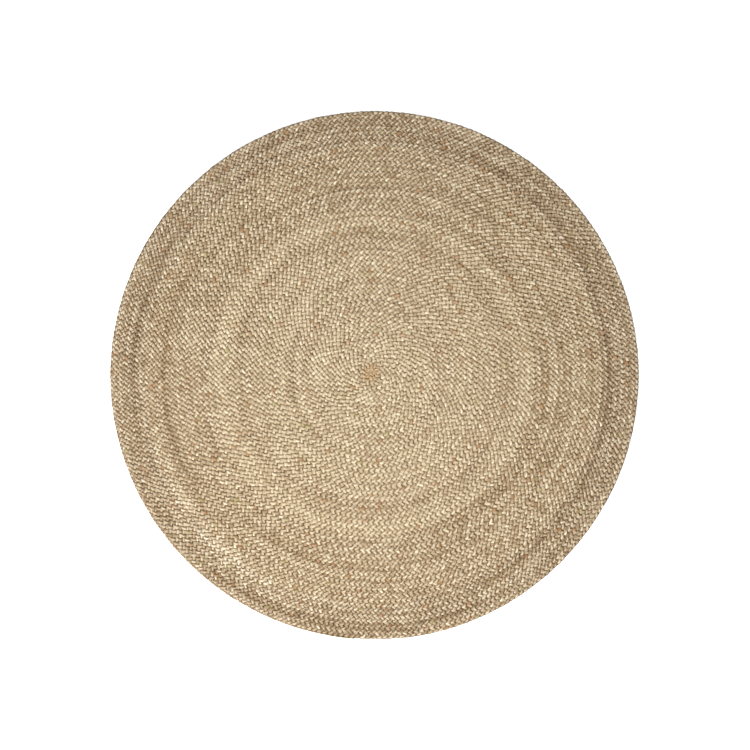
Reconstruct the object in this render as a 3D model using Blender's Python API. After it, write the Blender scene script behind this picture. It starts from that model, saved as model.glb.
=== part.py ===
"""Round braided jute rug: one long three-strand plait, coiled flat and laced edge to edge.

Units are metres, +Z is up, and the rug lies on z = 0 with its middle at the origin.
The coil is described by a turn count: 0 at the eye of the coil, 48 at the rim. Every
solid is swept along that coil, so one function places every point of the rug.
"""

import math

import bmesh
import bpy

# --- Driving dimensions ------------------------------------------------------------

BRAID_PITCH = 0.0125         # mean width of the flat plait, seam to seam
TURNS = 48                   # turns of plait from the eye to the rim
BRAID_THICKNESS = 0.010      # height of the flat plait
EDGE_BEVEL = 0.0025          # how far each rounded plait edge leans in, at top and bottom
WIDTH_SWELL = 0.05           # share by which the plait is wider halfway out, narrower at both ends
SEAM_GAP = 0.0003            # clearance between any two neighbouring pieces
HEART_TURNS = 1.0            # turn count at the outside of the eye, where the coil starts
HEART_SHIFT = (-0.0057, 0.0066)  # the eye sits this far from the middle of the outline
SEAM_ANGLE = math.radians(280)   # direction in which each turn hands over to the next
TAPER_TURNS = 0.30           # length over which the end of the plait thins, in turns
CLOSE_TURNS = 0.04           # length behind the tip over which the rim is pulled out to meet it
TAIL_TIP_FLAT = 0.001        # flat left between the two bevels at the very tip
WHIPPING_LENGTH = 0.060      # stretch of the tip that is bound with twine
LACING_HEIGHT = 0.0024       # underside of the lacing twine above the floor
LACING_CLEARANCE = 0.0003    # sideways room between the twine and the plaits it joins
TURNS_PER_LENGTH = 2         # turns of plait in one named length of it
SECTIONS_PER_TURN = 28       # sweep sections in one turn
NEAREST_SECTIONS = 0.15      # a section this near a needed one is left out, as a share of a step
CREASE_ANGLE = math.radians(30)  # edges sharper than this stay sharp in shading

# Jute is plaited as it comes, batch after batch: (material, last turn made of it).
BATCHES = (
    ("jute_cream", 10),
    ("jute_tan", 14),
    ("jute_cream", 20),
    ("jute_tan", 24),
    ("jute_cream", 28),
    ("jute_taupe", 40),
    ("jute_umber", TURNS - 1),
)

# Linear base colour and roughness of each material.
FINISHES = {
    "jute_honey": ((0.49, 0.35, 0.19), 0.80),
    "jute_cream": ((0.58, 0.46, 0.28), 0.75),
    "jute_tan": ((0.53, 0.41, 0.25), 0.78),
    "jute_taupe": ((0.48, 0.36, 0.22), 0.80),
    "jute_umber": ((0.43, 0.32, 0.19), 0.82),
    "twine_olive": ((0.42, 0.36, 0.18), 0.80),
    "twine_natural": ((0.46, 0.36, 0.22), 0.85),
}

# --- Derived dimensions ------------------------------------------------------------

RUG_RADIUS = BRAID_PITCH * TURNS
LAST_TURN = TURNS - 1                    # turns outside the eye of the coil
OUTLINE_START = HEART_TURNS + LAST_TURN  # turn count of the outline where the last turn starts
TAIL_TIP = 1 - CLOSE_TURNS               # fraction of the last turn at which the plait ends
TAPER_START = TAIL_TIP - TAPER_TURNS     # fraction of the last turn at which it starts to thin
TWINE_START = TAIL_TIP - WHIPPING_LENGTH / (2 * math.pi * RUG_RADIUS)  # where its binding starts
TIP_WIDTH = 2 * EDGE_BEVEL + TAIL_TIP_FLAT + SEAM_GAP
TIP_SHARE = TIP_WIDTH / (BRAID_PITCH * (1 - WIDTH_SWELL))  # of the plait's width at the rim


# --- The coil ----------------------------------------------------------------------

def free_radius(count):
    """Radius reached after a number of turns, before the rim is pulled into a circle."""
    wave = 2 * math.pi / TURNS
    return BRAID_PITCH * (count - WIDTH_SWELL / wave * math.sin(wave * count))


def ease(start, end, value):
    """0 before start, 1 after end, and a smooth rise between them."""
    share = min(max((value - start) / (end - start), 0.0), 1.0)
    return 0.5 - 0.5 * math.cos(math.pi * share)


def tail_share(turn):
    """Width of the plait as a share of a full one, at a fraction of the last turn."""
    thinning = (1 - TIP_SHARE) * ease(TAPER_START, TAIL_TIP, turn)
    closing = TIP_SHARE * ease(TAIL_TIP, 1.0, turn)
    return 1 - thinning - closing


def outline_count(turn):
    """Turn count of the rug's outline, at a fraction of the last turn."""
    return OUTLINE_START + turn - (1 - tail_share(turn))


def coil_radius(count, turn):
    """Radius of the coil at a turn count, eased outwards so that the rim is a circle."""
    rim = free_radius(outline_count(turn))
    radius = free_radius(count)
    return radius + (RUG_RADIUS - rim) * (radius / rim) ** 2


def coil_point(count, turn, inset, height):
    """Point beside the seam at this turn count; inset is the distance outwards from it."""
    radius = coil_radius(count, turn) + inset
    angle = SEAM_ANGLE + 2 * math.pi * turn
    pull = 1 - (radius / RUG_RADIUS) ** 2
    return (
        radius * math.cos(angle) + pull * HEART_SHIFT[0],
        radius * math.sin(angle) + pull * HEART_SHIFT[1],
        height,
    )


def braid_section(inner, outer, turn):
    """Six-sided section of the plait between two seams, bevelled along both edges."""
    edge = SEAM_GAP / 2
    flat = edge + EDGE_BEVEL
    middle = BRAID_THICKNESS / 2
    return [
        coil_point(inner, turn, edge, middle),
        coil_point(inner, turn, flat, 0.0),
        coil_point(outer, turn, -flat, 0.0),
        coil_point(outer, turn, -edge, middle),
        coil_point(outer, turn, -flat, BRAID_THICKNESS),
        coil_point(inner, turn, flat, BRAID_THICKNESS),
    ]


def stations(start, end):
    """Fractions of a turn at which a sweep has a section: both ends and what lies between.

    Every turn has sections at the same fractions, so that neighbours stay parallel.
    """
    margin = NEAREST_SECTIONS / SECTIONS_PER_TURN
    needed = [TAPER_START, TWINE_START, TAIL_TIP]
    grid = [number / SECTIONS_PER_TURN for number in range(SECTIONS_PER_TURN + 1)]
    spaced = [turn for turn in grid if all(abs(turn - other) > margin for other in needed)]
    inside = [turn for turn in sorted(needed + spaced) if start + margin < turn < end - margin]
    return [start, *inside, end]


def turn_gap(count):
    """Fraction of a turn that leaves the clearance between two ends at this turn count."""
    return SEAM_GAP / (2 * math.pi * free_radius(count))


# --- Making objects ----------------------------------------------------------------

def clear_scene():
    for obj in list(bpy.data.objects):
        bpy.data.objects.remove(obj)


def finish_material(name):
    """The named material, made once and then shared."""
    material = bpy.data.materials.get(name)
    if material is None:
        colour, roughness = FINISHES[name]
        material = bpy.data.materials.new(name)
        material.use_nodes = True
        shader = material.node_tree.nodes["Principled BSDF"]
        shader.inputs["Base Color"].default_value = (*colour, 1.0)
        shader.inputs["Roughness"].default_value = roughness
        shader.inputs["Metallic"].default_value = 0.0
    return material


def add_solid(name, material, points, faces):
    """One closed solid from points and faces, with its normals facing out."""
    mesh = bpy.data.meshes.new(name)
    mesh.from_pydata(points, [], faces)
    shaper = bmesh.new()
    shaper.from_mesh(mesh)
    bmesh.ops.recalc_face_normals(shaper, faces=shaper.faces)
    shaper.to_mesh(mesh)
    shaper.free()
    mesh.shade_smooth()
    mesh.set_sharp_from_angle(angle=CREASE_ANGLE)
    mesh.materials.append(finish_material(material))
    obj = bpy.data.objects.new(name, mesh)
    bpy.context.scene.collection.objects.link(obj)
    return obj


def add_sweep(name, material, sections):
    """A solid through a row of sections that have equal numbers of points."""
    sides = len(sections[0])
    points = [point for section in sections for point in section]
    faces = [tuple(range(sides)), tuple(range(len(points) - sides, len(points)))]
    for row in range(len(sections) - 1):
        for side in range(sides):
            near = row * sides
            far = near + sides
            after = (side + 1) % sides
            faces.append((near + side, near + after, far + after, far + side))
    return add_solid(name, material, points, faces)


# --- The pieces --------------------------------------------------------------------

def add_heart():
    """The folded start of the plait: a flat disc whose edge is the coil's first seam."""
    half_gap = SEAM_GAP / 2
    rows = (
        (-half_gap - EDGE_BEVEL, 0.0),
        (-half_gap, BRAID_THICKNESS / 2),
        (-half_gap - EDGE_BEVEL, BRAID_THICKNESS),
    )
    edge = stations(0.0, 1.0)
    points = [
        coil_point(HEART_TURNS + turn, turn, inset, height)
        for turn in edge
        for inset, height in rows
    ]
    bottom = len(points)
    top = bottom + 1
    points.append((*HEART_SHIFT, 0.0))
    points.append((*HEART_SHIFT, BRAID_THICKNESS))
    faces = []
    for near in range(0, bottom - 3, 3):
        far = near + 3
        faces.append((bottom, near, far))
        faces.append((near, near + 1, far + 1, far))
        faces.append((near + 1, near + 2, far + 2, far + 1))
        faces.append((near + 2, top, far + 2))
    last = bottom - 3
    faces.append((bottom, last, last + 1, last + 2, top, 2, 1, 0))
    return add_solid("braid_heart", "jute_honey", points, faces)


def batch_of(number):
    """Material of a turn of the plait."""
    return next(material for material, last in BATCHES if number <= last)


def add_braid_length(name, material, start, end):
    """A length of the plait, between two places counted in turns from the heart."""
    sections = []
    for number in range(math.floor(start), math.ceil(end)):
        inner = HEART_TURNS + number
        row = stations(max(start - number, 0.0), min(end - number, 1.0))
        if number + 1 < end:
            row = row[:-1]
        for turn in row:
            outer = min(inner + 1 + turn, outline_count(turn))
            sections.append(braid_section(inner + turn, outer, turn))
    return add_sweep(name, material, sections)


def add_turns():
    """Every turn of full width, two to a length, up to where the plait starts to thin."""
    for start in range(0, LAST_TURN, TURNS_PER_LENGTH):
        first = start + 1
        last = min(start + TURNS_PER_LENGTH, LAST_TURN)
        name = f"braid_turns_{first:02d}_{last:02d}" if last > first else f"braid_turn_{last:02d}"
        end = last if last < LAST_TURN else LAST_TURN - 1 + TAPER_START
        add_braid_length(name, batch_of(last), start + turn_gap(HEART_TURNS + start), end)


def add_tail():
    """The thinning end of the plait, and the bound tip that finishes it."""
    gap = turn_gap(TURNS)
    before = LAST_TURN - 1
    material = batch_of(LAST_TURN)
    add_braid_length("braid_tail", material, before + TAPER_START + gap, before + TWINE_START)
    add_braid_length("tail_whipping", "twine_olive", before + TWINE_START + gap, before + TAIL_TIP)


def add_lacing():
    """The twine that joins each turn to the next, packed into the groove underneath."""
    def half_width(height):
        lean = EDGE_BEVEL * (1 - 2 * height / BRAID_THICKNESS)
        return lean + SEAM_GAP / 2 - LACING_CLEARANCE

    base = half_width(LACING_HEIGHT)
    spare = LACING_CLEARANCE - SEAM_GAP / 2
    peak = BRAID_THICKNESS / 2 * (1 - spare / EDGE_BEVEL)
    corners = ((-base, LACING_HEIGHT), (base, LACING_HEIGHT), (0.0, peak))
    sections = []
    for number in range(LAST_TURN):
        start = 0.0 if number else turn_gap(HEART_TURNS)
        row = stations(start, 1.0)[:-1]
        if number == LAST_TURN - 1:
            row = stations(start, TAIL_TIP)
        for turn in row:
            count = HEART_TURNS + number + turn
            sections.append([coil_point(count, turn, *corner) for corner in corners])
    return add_sweep("lacing_thread", "twine_natural", sections)


def main():
    clear_scene()
    add_heart()
    add_turns()
    add_tail()
    add_lacing()


main()
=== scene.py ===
# %% [markdown]
# # A round braided jute rug
# Jute is the fibre of a tall plant's stem. It is pulled into thick soft strands, three
# strands are plaited into a flat braid, and the braid is coiled and laced edge to edge.
# This lesson builds it the same way: the strands are real geometry, so that every
# stitch, groove and shadow comes from shape, and a procedural fibre finish goes on top.
# The finish also adds painted shade deep in the grooves and on the sides of the strands,
# and a painted highlight along their tops.

# %% Load the fixed model
import math

import bpy
import numpy as np
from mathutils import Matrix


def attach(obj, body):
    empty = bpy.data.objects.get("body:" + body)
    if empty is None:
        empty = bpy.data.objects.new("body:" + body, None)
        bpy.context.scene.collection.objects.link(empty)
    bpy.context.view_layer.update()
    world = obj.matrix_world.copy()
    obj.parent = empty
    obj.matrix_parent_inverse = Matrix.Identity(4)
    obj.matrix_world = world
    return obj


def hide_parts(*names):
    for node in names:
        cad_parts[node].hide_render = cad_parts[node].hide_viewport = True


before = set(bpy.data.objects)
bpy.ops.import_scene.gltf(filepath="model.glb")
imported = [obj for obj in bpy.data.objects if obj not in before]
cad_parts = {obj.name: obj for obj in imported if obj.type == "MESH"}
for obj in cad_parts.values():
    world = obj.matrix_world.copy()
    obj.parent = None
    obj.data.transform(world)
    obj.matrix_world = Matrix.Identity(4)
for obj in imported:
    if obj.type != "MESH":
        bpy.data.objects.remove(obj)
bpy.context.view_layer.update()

# %% [markdown]
# ## The coil
# The rug is a spiral. Its position is given by a turn count: the seam between two
# neighbouring rounds of braid sits one braid width further out after each turn. The
# formulas are the ones that place the solids, so the detailed braid lands on them.

# %% The coil's dimensions
BRAID_PITCH = 0.0125
TURNS = 48
BRAID_THICKNESS = 0.010
EDGE_BEVEL = 0.0025
WIDTH_SWELL = 0.05
SEAM_GAP = 0.0003
HEART_TURNS = 1.0
HEART_SHIFT = (-0.0057, 0.0066)
SEAM_ANGLE = math.radians(280)
TAPER_TURNS = 0.30
CLOSE_TURNS = 0.04
TAIL_TIP_FLAT = 0.001
WHIPPING_LENGTH = 0.060

RUG_RADIUS = BRAID_PITCH * TURNS
LAST_TURN = TURNS - 1
OUTLINE_START = HEART_TURNS + LAST_TURN
TAIL_TIP = 1 - CLOSE_TURNS
TAPER_START = TAIL_TIP - TAPER_TURNS
TWINE_START = TAIL_TIP - WHIPPING_LENGTH / (2 * math.pi * RUG_RADIUS)
TIP_WIDTH = 2 * EDGE_BEVEL + TAIL_TIP_FLAT + SEAM_GAP
TIP_SHARE = TIP_WIDTH / (BRAID_PITCH * (1 - WIDTH_SWELL))
HEART_RATE = 1.4     # how fast the seam shrinks inside the eye, as a power of e per turn
TIP_TUCK = 0.0040    # how far the round inside the tip is pulled out, so that no step shows


def free_radius(count):
    wave = 2 * math.pi / TURNS
    return BRAID_PITCH * (count - WIDTH_SWELL / wave * np.sin(wave * count))


def ease(start, end, value):
    """0 before start, 1 after end, and a smooth rise between them."""
    share = np.clip((value - start) / (end - start), 0.0, 1.0)
    return 0.5 - 0.5 * np.cos(math.pi * share)


def tail_share(turn):
    """Width of the braid as a share of a full one, at a fraction of the last turn."""
    thinning = (1 - TIP_SHARE) * ease(TAPER_START, TAIL_TIP, turn)
    closing = TIP_SHARE * ease(TAIL_TIP, 1.0, turn)
    return 1 - thinning - closing


def outline_count(turn):
    return OUTLINE_START + turn - (1 - tail_share(turn))


def coil_radius(count, turn):
    rim = free_radius(outline_count(turn))
    radius = free_radius(count)
    return radius + (RUG_RADIUS - rim) * (radius / rim) ** 2


def seam_radius(travel):
    """Radius of the inner seam after this many turns; below 0 it winds into the eye."""
    outside = np.maximum(travel, 0.0)
    laid = coil_radius(HEART_TURNS + outside, outside % 1.0)
    turn = travel - (LAST_TURN - 1)
    tuck = ease(TWINE_START - 0.06, TAIL_TIP, turn) * (1 - ease(TAIL_TIP, 1.0, turn))
    return laid * np.exp(HEART_RATE * np.minimum(travel, 0.0)) + TIP_TUCK * tuck


def braid_edges(travel):
    """Inner and outer radius of the braid after this many turns."""
    inner = seam_radius(travel)
    outer = seam_radius(travel + 1)
    last = travel >= LAST_TURN - 1
    turn = np.clip(travel - (LAST_TURN - 1), 0.0, 1.0)
    rim = coil_radius(outline_count(turn), turn)
    return inner, np.where(last, rim, outer)


def coil_point(travel, radius, height):
    """Points of the coil, as rows of x, y and z."""
    angle = SEAM_ANGLE + 2 * math.pi * travel
    pull = 1 - (radius / RUG_RADIUS) ** 2
    x = radius * np.cos(angle) + pull * HEART_SHIFT[0]
    y = radius * np.sin(angle) + pull * HEART_SHIFT[1]
    return np.stack([x, y, height + 0 * radius], -1)


widths = [round(1000 * float(np.diff(braid_edges(np.array(t)))[0]), 1) for t in (-1, 0, 23, 45)]
print("braid widths in mm, from the eye outwards:", widths)

# %% [markdown]
# ## How a flat three-strand braid moves
# Each strand swings from side to side as a sine. It comes over the others on its way in
# from an edge and goes under them on its way out, which is a second sine at twice the
# rate. The three strands do the same a third of a period apart, so the top shows a row
# of chevrons, one for each stitch. A period is three stitches long. Each round is a
# little wider than its place in the coil, so that its edges press into the next rounds
# and no straight gap shows, as in jute that is laced tight.

# %% Strand sizes, and the phase of the braid along the coil
STITCH = 0.0119            # spacing of the stitches along the braid
RINGS = 15                 # mesh rings in one period
SIDES = 10                 # mesh sides round a strand
SQUARENESS = 0.78          # 1 is an ellipse; less gives a flatter top and thinner grooves
FULL_WIDTH = 0.0118        # width of a braid whose strands have their full size
STRAND_WIDTH = 0.0084      # of a strand where it lies flat
STRAND_HEIGHT = 0.0048     # where two strands cross
SWING_UP = (BRAID_THICKNESS - STRAND_HEIGHT) / 2    # how far a strand rises and sinks
CREST_LIMIT = 0.84         # the rise is levelled off near this share, which makes the top flatter
PLUMP_EDGE = 0.30          # a strand is this much thicker at the edges
EDGE_SQUEEZE = 0.10        # and this much narrower where it folds back at the edge
EDGE_FLAT = 0.05           # how much the fold is flattened along the edge
HURRY = 0.22               # a strand crosses faster on top, which makes the stitches lean more
OVERLAP = 0.0030           # the edge of each round lies this far over or under the seam
EDGE_LIFT = 0.25           # share of the rise by which the outer edge rides up over the next round
RIM_OVERLAP = 0.5          # the last round has nothing to lie over, so it keeps half of that
START_TRAVEL = -2.3        # where the thin start of the braid lies inside the eye
END_TRAVEL = LAST_TURN - 1 + TAIL_TIP
EYE_FINENESS = 0.5         # the first rounds are plaited this much tighter
EYE_SLIMNESS = 0.2         # and their strands are this much thinner

rng = np.random.default_rng(24)


def drift(places, spacing, amount):
    """Smooth random wander: a new random value at every spacing, eased between them."""
    count = int(np.ptp(places) / spacing) + 3
    knots = rng.uniform(-1, 1, count)
    at = (places - places.min()) / spacing
    low = at.astype(int)
    share = at - low
    share = share * share * (3 - 2 * share)
    return amount * (knots[low] * (1 - share) + knots[low + 1] * share)


table = np.linspace(START_TRAVEL, END_TRAVEL, 120001)
inner, outer = braid_edges(table)
middle = coil_point(table, (inner + outer) / 2, 0.0)
step = np.linalg.norm(np.diff(middle, axis=0), axis=1)
length = np.concatenate([[0.0], np.cumsum(step)])
pitch = 3 * STITCH * np.clip((outer - inner) / FULL_WIDTH, 0.12, 1.04) ** 0.8
pitch = pitch * (1 + drift(length, 0.16, 0.06) + drift(length, 0.05, 0.04))
pitch = pitch * (1 - EYE_FINENESS * (1 - ease(-0.5, 0.15, table)))
rate = 2 * math.pi / pitch
phase_table = np.concatenate([[0.0], np.cumsum(step * (rate[1:] + rate[:-1]) / 2)])
ring_step = 2 * math.pi / RINGS
phase = np.arange(0, int(phase_table[-1] / ring_step)) * ring_step
travel = np.interp(phase, phase_table, table)
print(f"braid {length[-1]:.1f} m long, {phase[-1] / 2 / math.pi:.0f} periods, {len(phase)} rings")

# %% The path of each strand
place = np.interp(phase, phase_table, length)
inner, outer = braid_edges(travel)
full = np.clip((outer - inner) / FULL_WIDTH, 0.0, 1.06)
wander = drift(place, 0.22, 0.0004) + drift(place, 0.06, 0.0003)
wander *= np.clip(full, 0, 1) * (travel < LAST_TURN - 2.2)
lift = drift(place, 0.12, 0.00035)


def stitch_noise(count):
    """One random value for each time a strand crosses the braid."""
    return rng.uniform(-1, 1, (3, count + 4))


CROSSINGS = int(phase[-1] / math.pi) + 4
HIDDEN_AT = 0.68           # share of a crossing, from where the strand dives under the others
JOIN = 0.14                # share of a crossing in which one stitch passes into the next
VARY_WIDE = 0.09           # how much stitches differ in width,
VARY_HIGH = 0.08           # in height,
VARY_REACH = 0.10          # in how far they swing,
VARY_RISE = 0.0004         # and in how far they stand up
fatness = stitch_noise(CROSSINGS)
rise = stitch_noise(CROSSINGS)
reach = stitch_noise(CROSSINGS)


def per_stitch(values, own_phase, number):
    """The values of a strand, one for each crossing, joined where the strand is hidden."""
    at = own_phase / math.pi + HIDDEN_AT
    low = np.floor(at).astype(int)
    share = np.clip((at - low - 1 + JOIN) / JOIN, 0, 1)
    share = share * share * (3 - 2 * share)
    row = values[number]
    return row[low] * (1 - share) + row[low + 1] * share


def strand(number):
    """Centre line, half width and half height of one of the three strands."""
    own = phase + number * 2 * math.pi / 3
    edge = np.sin(own) ** 6
    slim = full * (1 - EYE_SLIMNESS * (1 - ease(-0.5, 0.15, travel)))
    wide = STRAND_WIDTH / 2 * slim * (1 - EDGE_SQUEEZE * edge)
    high = STRAND_HEIGHT / 2 * full ** 0.25 * (1 + PLUMP_EDGE * edge)
    wide = wide * (1 + VARY_WIDE * per_stitch(fatness, own, number))
    high = high * (1 + VARY_HIGH * per_stitch(fatness, own, number))
    edge_wide = STRAND_WIDTH / 2 * slim * (1 - EDGE_SQUEEZE)
    rim = ease(LAST_TURN - 1.2, LAST_TURN - 0.9, travel)   # 1 on the outermost round
    swing = (outer - inner) / 2 + OVERLAP * full * (1 - RIM_OVERLAP * rim) - edge_wide
    swing = swing * (1 + VARY_REACH * per_stitch(reach, own, number))
    turned = own + HURRY * np.cos(2 * own)
    wave = (np.sin(turned) + EDGE_FLAT * np.sin(3 * turned)) / (1 - EDGE_FLAT)
    radius = (inner + outer) / 2 + wander + swing * wave - RIM_OVERLAP * OVERLAP * full * rim
    over = EDGE_LIFT * (1 - rim) * np.sin(own) - np.sin(2 * own)
    over = over / (1 + np.abs(over) ** 4) ** 0.25 / CREST_LIMIT
    up = BRAID_THICKNESS / 2 + SWING_UP * full ** 0.25 * over
    up = up + lift + VARY_RISE * per_stitch(rise, own, number)
    return coil_point(travel, radius, up), wide, high, own


print(f"a strand is {1000 * STRAND_WIDTH:.1f} by {1000 * STRAND_HEIGHT:.1f} mm where it lies flat")

# %% [markdown]
# ## From a path to a mesh
# A tube is a row of rings joined by four-sided faces, closed by a cap at each end.
# Writing the arrays straight into the mesh is far quicker than Blender's operators,
# and it lets every vertex carry facts for the finish: where it is along the fibre, how
# pale its batch of jute is, and whether it lies on a crest or deep in a groove, which
# the finish turns into painted highlight and painted shade.

# %% The tube maker
MAP_SHARE = 0.08           # rows of the finish map for each step along a tube
SHARP_EDGE = 70            # degrees; only the end caps meet the walls more sharply


def distance_along(points):
    """How far each point of a path is from its start."""
    return np.concatenate([[0.0], np.cumsum(np.linalg.norm(np.diff(points, axis=0), axis=1))])


def unit(vectors):
    return vectors / np.maximum(np.linalg.norm(vectors, axis=-1, keepdims=True), 1e-12)


def tube(centres, wide, high, sides, squareness):
    """Rings round a path: points (rings, sides, 3), and the angle of each side."""
    ahead = unit(np.gradient(centres, axis=0))
    across = unit(np.stack([ahead[:, 1], -ahead[:, 0], 0 * ahead[:, 0]], -1))
    up = np.cross(across, ahead)
    angle = 2 * math.pi * np.arange(sides) / sides - math.pi / 2
    c, s = np.cos(angle), np.sin(angle)
    c = np.sign(c) * np.abs(c) ** squareness
    s = np.sign(s) * np.abs(s) ** squareness
    rings = (
        centres[:, None]
        + across[:, None] * (np.multiply.outer(wide, c))[..., None]
        + up[:, None] * (np.multiply.outer(high, s))[..., None]
    )
    return rings, angle


def tube_faces(rings, sides, first):
    """The corners of a tube's faces: four-sided walls, and its two end caps."""
    ring = np.arange(rings - 1)[:, None] * sides
    near = ring + np.arange(sides)[None]
    after = ring + (np.arange(sides)[None] + 1) % sides
    walls = np.stack([near, after, after + sides, near + sides], -1).reshape(-1, 4) + first
    ends = [first + np.arange(sides)[::-1], first + (rings - 1) * sides + np.arange(sides)]
    return walls, ends


def strip_map(counts, sides, share_long):
    """Places on a square map for tubes, each cut along its underside and laid in rows."""
    steps = sum(count - 1 for count in counts)
    rows = max(1, math.ceil(math.sqrt(steps * share_long)))
    per_row = math.ceil(steps / rows)
    rows = math.ceil(steps / per_row)
    height = 1 / (rows + 1)
    number = np.arange(steps)[:, None]
    side = np.arange(sides)[None]
    left = (number % per_row + 0.0 * side) / per_row
    right = left + 1 / per_row
    low = (number // per_row + 0.06 + 0.88 * side / sides) * height
    high = low + 0.88 / sides * height
    walls = np.stack([left, low, left, high, right, high, right, low], -1)
    ends = 2 * len(counts)
    turn = 2 * math.pi * np.arange(sides) / sides
    size = 0.4 * min(height, 1 / ends)
    across = (np.arange(ends)[:, None] + 0.5) / ends + size * np.cos(turn)
    up = 1 - height / 2 + size * np.sin(turn) + 0 * across
    caps = np.stack([across, up], -1)
    return walls.reshape(-1, 2), caps.reshape(-1, 2)


def mesh_piece(name, tubes, facts, share_long=MAP_SHARE):
    """One object from several tubes; facts are named values for every vertex."""
    sides = tubes[0].shape[1]
    points = np.concatenate([t.reshape(-1, 3) for t in tubes])
    firsts = np.cumsum([0] + [len(t) * sides for t in tubes])
    made = [tube_faces(len(t), sides, first) for t, first in zip(tubes, firsts)]
    walls = np.concatenate([w for w, _ in made])
    caps = [cap for _, ends in made for cap in ends]
    corners = np.concatenate([walls.reshape(-1), *caps])
    sizes = np.concatenate([np.full(len(walls), 4), np.full(len(caps), sides)])
    starts = np.concatenate([[0], np.cumsum(sizes)[:-1]])
    mesh = bpy.data.meshes.new(name)
    mesh.vertices.add(len(points))
    mesh.vertices.foreach_set("co", points.astype(np.float32).ravel())
    mesh.loops.add(len(corners))
    mesh.loops.foreach_set("vertex_index", corners.astype(np.int32))
    mesh.polygons.add(len(sizes))
    mesh.polygons.foreach_set("loop_start", starts.astype(np.int32))
    mesh.polygons.foreach_set("use_smooth", sizes == 4)
    mesh.update(calc_edges=True)
    for key, values in facts.items():
        values = np.asarray(values, np.float32)
        if values.ndim == 2:
            mesh.attributes.new(key, "FLOAT_VECTOR", "POINT").data.foreach_set("vector", values.ravel())
        else:
            mesh.attributes.new(key, "FLOAT", "POINT").data.foreach_set("value", values)
    places = np.concatenate(strip_map([len(t) for t in tubes], sides, share_long))
    layer = mesh.uv_layers.new(name="OFBake")
    layer.uv.foreach_set("vector", places.astype(np.float32).ravel())
    mesh.set_sharp_from_angle(angle=math.radians(SHARP_EDGE))
    mesh.validate()
    piece = bpy.data.objects.new(name, mesh)
    bpy.context.scene.collection.objects.link(piece)
    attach(piece, "root")
    return piece


# %% [markdown]
# ## Batches of jute
# Jute comes in bundles of slightly different colour, so a rug shows broad rings and
# arcs of cream, tan and brown. Here every metre of braid gets a tone: one value for
# its batch, a slow drift along each strand, and a few darker or paler arcs.

# %% The tone of the jute along the braid
BATCHES = (
    ("jute_cream", 10), ("jute_tan", 14), ("jute_cream", 20), ("jute_tan", 24),
    ("jute_cream", 28), ("jute_taupe", 40), ("jute_umber", LAST_TURN),
)
ARC_STRENGTH = 0.85
# Each arc is (round, first degree, last degree, how much paler than the rest).
ARCS = (
    (1, 0, 360, -1.0), (30, -75, 10, -1.0), (31, -75, 10, -0.7), (34, -130, -60, -1.0),
    (37, 150, 215, -1.0), (42, -60, 5, -1.2), (43, 20, 80, -1.0), (42, 20, 70, -0.6), (43, 140, 200, -1.2),
    (45, -130, -70, -1.2), (44, -110, -80, -0.6), (40, 205, 245, 0.6), (41, 205, 245, 0.7),
    (42, 205, 245, 0.6), (16, 30, 130, -0.5), (10, 200, 330, -0.5), (19, 240, 340, 0.5),
)


def arc_tone(travel):
    """What the darker and paler arcs add, for each ring of the braid."""
    number = np.floor(travel) + 1
    angle = np.degrees(SEAM_ANGLE + 2 * math.pi * travel)
    total = np.zeros_like(travel)
    for turn, first, last, amount in ARCS:
        half = (last - first) / 2
        off = np.abs((angle - (first + last) / 2 + 180) % 360 - 180)
        total += ARC_STRENGTH * amount * (number == turn) * np.clip((half + 8 - off) / 16, 0, 1)
    return total


strand_tone = [drift(place, 0.9, 0.30) + drift(place, 0.25, 0.30) for _ in range(3)]
braid_tone = drift(place, 1.3, 0.35) + arc_tone(travel)
print("tone of the braid from", round(float(braid_tone.min()), 2), "to", round(float(braid_tone.max()), 2))

# %% The braid, one object for every two rounds


# Mask for painted shade: the finish paints fibre darker the lower it lies, deep in the grooves between
# strands.
def height_for_painted_shade(rings):
    """1 at the top or the underside of the rug, 0.5 halfway between them."""
    return 0.5 + np.abs(rings[..., 2] / BRAID_THICKNESS - 0.5).ravel()


# Mask for painted light: the finish paints the top of each strand paler as highlight and its two sides
# darker as shade.
def crown_for_painted_light(rings, angle):
    """1 along the top and bottom of a strand, 0 along its two sides."""
    return (0 * rings[..., 2] + np.abs(np.sin(angle))).ravel()


stitch_tone = stitch_noise(CROSSINGS)
odd_draw = (stitch_noise(CROSSINGS) + 1) / 2
odd_value = np.where(odd_draw > 0.982, 1.0, np.where(odd_draw < 0.006, -1.0, 0.0))
paths = [strand(number) for number in range(3)]


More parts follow.
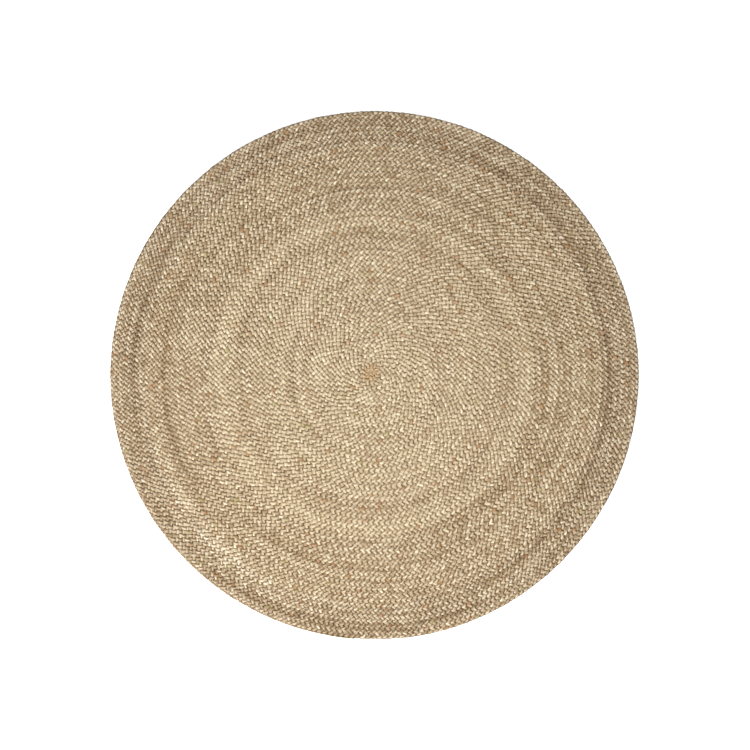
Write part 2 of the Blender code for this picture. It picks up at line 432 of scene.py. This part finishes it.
def braid_piece(name, start, end, node):
    """The three strands of the braid between two places of the coil."""
    rows = slice(max(np.searchsorted(travel, start) - 1, 0), np.searchsorted(travel, end) + 1)
    tubes = []
    facts = {"fibre": [], "tone": [], "stitch": [], "odd": [], "crest": [], "painted_light_crown": []}
    for number, (centres, wide, high, own) in enumerate(paths):
        rings, angle = tube(centres[rows], wide[rows], high[rows], SIDES, SQUARENESS)
        rings[..., 2] = np.maximum(rings[..., 2], 0.0001)
        tubes.append(rings)
        run = distance_along(centres)[rows]
        across = 1000 * STRAND_WIDTH / 2 * np.cos(angle)
        over = 1000 * STRAND_HEIGHT / 2 * np.sin(angle)
        run, across = np.broadcast_arrays(1000 * run[:, None], across)
        over = np.broadcast_to(over, run.shape)
        facts["fibre"].append(np.stack([run, across + 40 * number, over], -1).reshape(-1, 3))
        tone = braid_tone[rows] + strand_tone[number][rows]
        spread = np.ones(SIDES)
        facts["tone"].append(np.multiply.outer(tone, spread).ravel())
        shade = per_stitch(stitch_tone, own[rows], number)
        facts["stitch"].append(np.multiply.outer(shade, spread).ravel())
        odd = per_stitch(odd_value, own[rows], number)
        facts["odd"].append(np.multiply.outer(odd, spread).ravel())
        facts["crest"].append(height_for_painted_shade(rings))
        facts["painted_light_crown"].append(crown_for_painted_light(rings, angle))
    piece = mesh_piece(name, tubes, {key: np.concatenate(v) for key, v in facts.items()})
    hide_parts(node)
    return piece


def batch_of(number):
    return next(slot for slot, last in BATCHES if number <= last)


plaits = [braid_piece("plait_heart", START_TRAVEL, 0.0, "braid_heart")]
for start in range(0, LAST_TURN - 1, 2):
    rounds = f"{start + 1:02d}_{start + 2:02d}"
    plaits.append(braid_piece(f"plait_rounds_{rounds}", start, start + 2,
                              f"braid_turns_{rounds}"))
before = LAST_TURN - 1
plaits.append(braid_piece(f"plait_round_{LAST_TURN}", before, before + TAPER_START,
                          f"braid_turn_{LAST_TURN}"))
plaits.append(braid_piece("plait_tail", before + TAPER_START, END_TRAVEL,
                          "braid_tail"))
slots = ["jute_honey", *[batch_of(start + 2) for start in range(0, before, 2)],
         batch_of(LAST_TURN), batch_of(LAST_TURN)]
faces = [sum(len(p.vertices) - 2 for p in piece.data.polygons) for piece in plaits[-4:]]
print(len(plaits), "pieces of braid; triangles in the last four:", faces)

# %% [markdown]
# ## Binding the end
# The loose end of the braid is wrapped with fine twine, so that it can't unravel, and
# is sewn down along the rim. The twine is a helix round the thinning tip.

# %% The whipping
TWINE = 0.0016
WRAP_STEPS = 14
wraps = int(WHIPPING_LENGTH / (1.05 * TWINE))
turn_at = np.linspace(TWINE_START, TAIL_TIP, wraps * WRAP_STEPS)
around = np.linspace(0, 2 * math.pi * wraps, wraps * WRAP_STEPS)
tip_inner, tip_outer = braid_edges(LAST_TURN - 1 + turn_at)
half = (tip_outer - tip_inner) / 2 - TWINE / 4
tall = (BRAID_THICKNESS / 2 - TWINE / 2) * np.clip(half / half[0], 0.0, 1.0) ** 0.5
radius = (tip_inner + tip_outer) / 2 + half * np.cos(around)
centres = coil_point(LAST_TURN - 1 + turn_at, radius, BRAID_THICKNESS / 2 + tall * np.sin(around))


def twine_facts(rings, centres, seed):
    """Facts for a piece of twine: its fibre runs along it with a slow twist."""
    run = 1000 * distance_along(centres)
    sides = rings.shape[1]
    angle = 2 * math.pi * np.arange(sides) / sides
    twist = run[:, None] / 4 + angle[None]
    fibre = np.stack([run[:, None] + 0 * twist, seed + np.cos(twist), np.sin(twist)], -1)
    flat = np.zeros(rings.shape[:2]).ravel()
    return {"fibre": fibre.reshape(-1, 3), "tone": flat, "stitch": flat, "odd": flat,
            "crest": height_for_painted_shade(rings), "painted_light_crown": crown_for_painted_light(rings, angle - math.pi / 2)}


def round_tube(centres, radius, sides):
    """Rings square to a path that may run in any direction."""
    ahead = unit(np.gradient(centres, axis=0))
    flat = np.where(np.abs(ahead[:, 2:]) < 0.9, [[0.0, 0.0, 1.0]], [[1.0, 0.0, 0.0]])
    across = unit(np.cross(ahead, flat))
    up = np.cross(across, ahead)
    angle = 2 * math.pi * np.arange(sides) / sides - math.pi / 2
    return (centres[:, None] + radius * (across[:, None] * np.cos(angle)[None, :, None]
                                         + up[:, None] * np.sin(angle)[None, :, None]))


rings = round_tube(centres, TWINE / 2, 6)
whipping = mesh_piece("twine_whipping", [rings], twine_facts(rings, centres, 0.0))
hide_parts("tail_whipping")
print(wraps, "wraps of twine,", len(rings), "rings")

# %% [markdown]
# ## The lacing
# A thinner twine zigzags under every seam and pulls each round against the one inside
# it. It is only seen from below, or through a loose stitch.

# %% The lacing thread
LACING = 0.0014
LACING_REACH = 0.0024
LACING_STEP = 0.016
HALF_STITCH_RINGS = 2


def lacing_piece(name, start, end):
    """Zigzag stitches along the seam between two places of the coil."""
    rows = (table >= start) & (table <= end)
    seam = table[rows]
    radius = seam_radius(seam)
    run = distance_along(coil_point(seam, radius, 0.0))
    stitches = int(run[-1] / LACING_STEP)
    at = np.linspace(0, stitches, stitches * 2 * HALF_STITCH_RINGS + 1)
    where = np.interp(at * LACING_STEP, run, seam)
    side = 2 * np.abs(2 * ((at + 0.25) % 1) - 1) - 1
    low = 0.0013 + 0.0012 * (1 - side ** 2)
    centres = coil_point(where, seam_radius(where) + LACING_REACH * side, low)
    rings = round_tube(centres, LACING / 2, 5)
    rings[..., 2] = np.maximum(rings[..., 2], 0.0001)
    return mesh_piece(name, [rings], twine_facts(rings, centres, 7.0))


lacings = [
    lacing_piece("lacing_inner", 0.02, 24),
    lacing_piece("lacing_middle", 24, 37),
    lacing_piece("lacing_outer", 37, LAST_TURN - 1 + TAIL_TIP - 0.002),
]
for piece in lacings:
    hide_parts("lacing_thread")
    print(piece.name, "has", len(piece.data.polygons), "faces")

# %% [markdown]
# ## The jute finish
# Jute bast fibre is cellulose with some lignin: straw to brown, with a silky sheen
# along the fibre and a dull, rough look across it. The crests are painted pale as a
# highlight and the grooves painted dark as shade. The streaks come from noise
# stretched along each strand.

# %% Helpers for colours and nodes


def linear(code):
    """A #rrggbb colour as linear red, green, blue and alpha."""
    values = [int(code[i:i + 2], 16) / 255 for i in (1, 3, 5)]
    return (*[v / 12.92 if v <= 0.04045 else ((v + 0.055) / 1.055) ** 2.4 for v in values], 1.0)


def add(tree, kind, inputs=None, **settings):
    """A new node with its settings; inputs are values, or sockets to link from."""
    node = tree.nodes.new(kind)
    for key, value in settings.items():
        setattr(node, key, value)
    for key, value in (inputs or {}).items():
        if isinstance(value, bpy.types.NodeSocket):
            tree.links.new(value, node.inputs[key])
        else:
            node.inputs[key].default_value = value
    return node


# %% The material
# Raw jute is retted, stripped and combed, never bleached: the eye sees pale crests and brown
# grooves, here partly painted highlight and painted shade, streaks that follow the strand,
# and a soft sheen instead of a gloss.
FIBRE_BUNDLE = 2.0     # mm across; a single fibre is 0.05 mm, so bundles are drawn coarser to show
FIBRE_FINE = 0.45      # mm across, for close views
FIBRE_RUN = 12.0       # mm along the strand before a streak changes
ODD_SHARE = 0.55       # how much of its own colour an odd stitch takes
MIDDLE_SHADE = -0.45   # sets the sum of streaks and crests back to the middle of the ramp


def jute(name, dark_fibre_and_shade, body, crest, rust="#7a5228", olive="#7d7448"):
    """Plaited jute bast fibre: streaky along the strand, silky, painted pale on top as highlight and painted
    dark in the grooves as shade.
    """
    material = bpy.data.materials.new(name)
    material.use_nodes = True
    tree = material.node_tree
    tree.nodes.clear()
    fibre = add(tree, "ShaderNodeAttribute", attribute_name="fibre").outputs["Vector"]
    facts = {key: add(tree, "ShaderNodeAttribute", attribute_name=key).outputs["Fac"]
             for key in ("tone", "stitch", "odd", "crest", "painted_light_crown")}
    streaks = []
    for size in (FIBRE_BUNDLE, FIBRE_FINE):
        laid = add(tree, "ShaderNodeVectorMath", {0: fibre, 1: (1 / FIBRE_RUN, 1 / size, 1 / size)},
                   operation="MULTIPLY")
        streaks.append(add(tree, "ShaderNodeTexNoise", {"Vector": laid.outputs[0], "Scale": 1.0,
                                                        "Detail": 3.0, "Roughness": 0.6}).outputs["Fac"])

    # Paleness is a sum: how high the fibre lies (painted shade low in a groove), its batch, its stitch, its
    # streaks, and painted highlight on the top of each strand with painted shade on its sides.
    # Painted shade: fibre that lies low in the braid, deep in a groove, is painted darker.
    high = add(tree, "ShaderNodeMapRange", {"Value": facts["crest"], "From Min": 0.55, "From Max": 1.0,
                                            "To Min": -0.25, "To Max": 0.0}).outputs[0]
    # Painted highlight along the top of each strand, painted shade down its sides.
    painted_light_crown = add(tree, "ShaderNodeMapRange", {"Value": facts["painted_light_crown"], "From Min": 0.25, "From Max": 0.9,
                                             "To Min": -0.55, "To Max": 0.14}).outputs[0]
    pale = high
    for value, weight in ((facts["tone"], 0.10), (facts["stitch"], 0.07),
                          (streaks[0], 1.4), (streaks[1], 0.5), (painted_light_crown, 1.0)):
        pale = add(tree, "ShaderNodeMath", {0: value, 1: weight, 2: pale},
                   operation="MULTIPLY_ADD").outputs[0]
    pale = add(tree, "ShaderNodeMath", {0: pale, 1: MIDDLE_SHADE}, operation="ADD").outputs[0]
    # The dark end of the ramp is reached mostly as painted shade in grooves and on strand sides, with some
    # dark streaks; the pale end partly as painted highlight on strand tops, partly as pale streaks.
    ramp = add(tree, "ShaderNodeValToRGB", {"Fac": pale})
    steps = ramp.color_ramp.elements
    steps[0].position, steps[0].color = 0.0, linear(dark_fibre_and_shade)
    steps[1].position, steps[1].color = 1.0, linear(crest)
    steps.new(0.52).color = linear(body)
    colour = ramp.outputs["Color"]
    for sign, tint in ((1.0, rust), (-1.0, olive)):
        share = add(tree, "ShaderNodeMath", {0: facts["odd"], 1: ODD_SHARE * sign}, operation="MULTIPLY",
                    use_clamp=True).outputs[0]
        mixed = add(tree, "ShaderNodeMix", {"Factor": share, 6: colour, 7: linear(tint)}, data_type="RGBA")
        colour = mixed.outputs[2]
    rough = add(tree, "ShaderNodeMapRange", {"Value": streaks[0], "To Min": 0.50, "To Max": 0.68}).outputs[0]
    height = add(tree, "ShaderNodeMath", {0: streaks[1], 1: 0.4, 2: streaks[0]},
                 operation="MULTIPLY_ADD").outputs[0]
    bump = add(tree, "ShaderNodeBump", {"Height": height, "Strength": 0.55, "Distance": 0.0007})
    shader = add(tree, "ShaderNodeBsdfPrincipled", {
        "Base Color": colour, "Roughness": rough, "Normal": bump.outputs["Normal"],
        "IOR": 1.50, "Specular IOR Level": 0.3, "Sheen Weight": 0.06, "Sheen Roughness": 0.4})
    add(tree, "ShaderNodeOutputMaterial", {"Surface": shader.outputs["BSDF"]})
    return material


# Each finish: its words, the dark colour used for dark fibre and painted shade, the body colour, and the
# pale colour used for pale fibre and painted highlight.
FINISHES = {
    "jute_honey": ("honey jute, the thin start of the braid", "#4e351b", "#88704f", "#b59f7b"),
    "jute_cream": ("cream jute, best pale bundles", "#4d351b", "#927f62", "#cbc1a6"),
    "jute_tan": ("tan jute, mixed bundles", "#452e16", "#8e7a5d", "#ccc1a7"),
    "jute_taupe": ("taupe jute, mixed darker bundles", "#37220f", "#867052", "#cec5ac"),
    "jute_umber": ("umber jute, darkest bundles", "#2d1b0b", "#7e684b", "#cfc6af"),
    "twine_olive": ("olive jute twine, spun", "#453a1c", "#95864f", "#c9ba84"),
    "twine_natural": ("natural jute twine, spun", "#3d2f1b", "#8d7448", "#b69d6e"),
}
materials = {}
for slot, (words, dark_fibre_and_shade, body, crest) in FINISHES.items():
    materials[slot] = jute(words, dark_fibre_and_shade, body, crest)
for slot, piece in zip(slots, plaits):
    piece.data.materials.append(materials[slot])
whipping.data.materials.append(materials["twine_olive"])
for piece in lacings:
    piece.data.materials.append(materials["twine_natural"])
print("finishes:", ", ".join(materials))

# %% [markdown]
# ## Studio
# The rug lies on a plain pale floor. One large soft light comes from the lower left,
# which gives each stitch a lit side, and a broad fill from above keeps grooves open.
# The floor glows a little, like the lit white table of a catalogue studio, so that the
# edge of the rug is clean and casts no grey shadow.

# %% Floor
bpy.ops.mesh.primitive_plane_add(size=40, location=(0, 0, -0.0002))
floor = bpy.context.object
floor.name = "studio_floor"
paint = bpy.data.materials.new("lit matt white acrylic sheet")
paint.use_nodes = True
glow = paint.node_tree.nodes["Principled BSDF"].inputs
glow["Base Color"].default_value = linear("#fafaf8")
glow["Roughness"].default_value = 0.9
glow["Emission Color"].default_value = linear("#ffffff")
glow["Emission Strength"].default_value = 0.5
floor.data.materials.append(paint)

# %% Lights and camera


def soft_light(name, azimuth, elevation, distance, size, power):
    """A square lamp that faces the rug from a compass direction and height."""
    lamp = bpy.data.lights.new(name, "AREA")
    lamp.size = size
    lamp.energy = power
    holder = bpy.data.objects.new(name, lamp)
    a, e = math.radians(azimuth), math.radians(elevation)
    out = (math.cos(a) * math.cos(e), math.sin(a) * math.cos(e), math.sin(e))
    holder.location = [distance * v for v in out]
    holder.rotation_euler = (math.pi / 2 - e, 0, a + math.pi / 2)
    bpy.context.scene.collection.objects.link(holder)
    return holder


soft_light("key_softbox", 238, 42, 5.0, 1.2, 470)
soft_light("top_softbox", 45, 80, 5.0, 3.0, 90)
world = bpy.data.worlds.new("studio")
world.use_nodes = True
world.node_tree.nodes["Background"].inputs["Color"].default_value = (1.0, 1.0, 1.0, 1.0)
world.node_tree.nodes["Background"].inputs["Strength"].default_value = 0.45
bpy.context.scene.world = world
bpy.context.scene.view_settings.view_transform = "Standard"

LENS = 150.0
FRAME_WIDTH = 1.7026
AIM = (0.0012, 0.0008)
eye = bpy.data.cameras.new("camera")
eye.lens = LENS
eye.sensor_width = 36.0
camera = bpy.data.objects.new("camera", eye)
distance = FRAME_WIDTH / 2 * LENS / (eye.sensor_width / 2)
camera.location = (*AIM, distance + BRAID_THICKNESS / 2)
bpy.context.scene.collection.objects.link(camera)
bpy.context.scene.camera = camera
print(f"camera {distance:.2f} m above the rug")
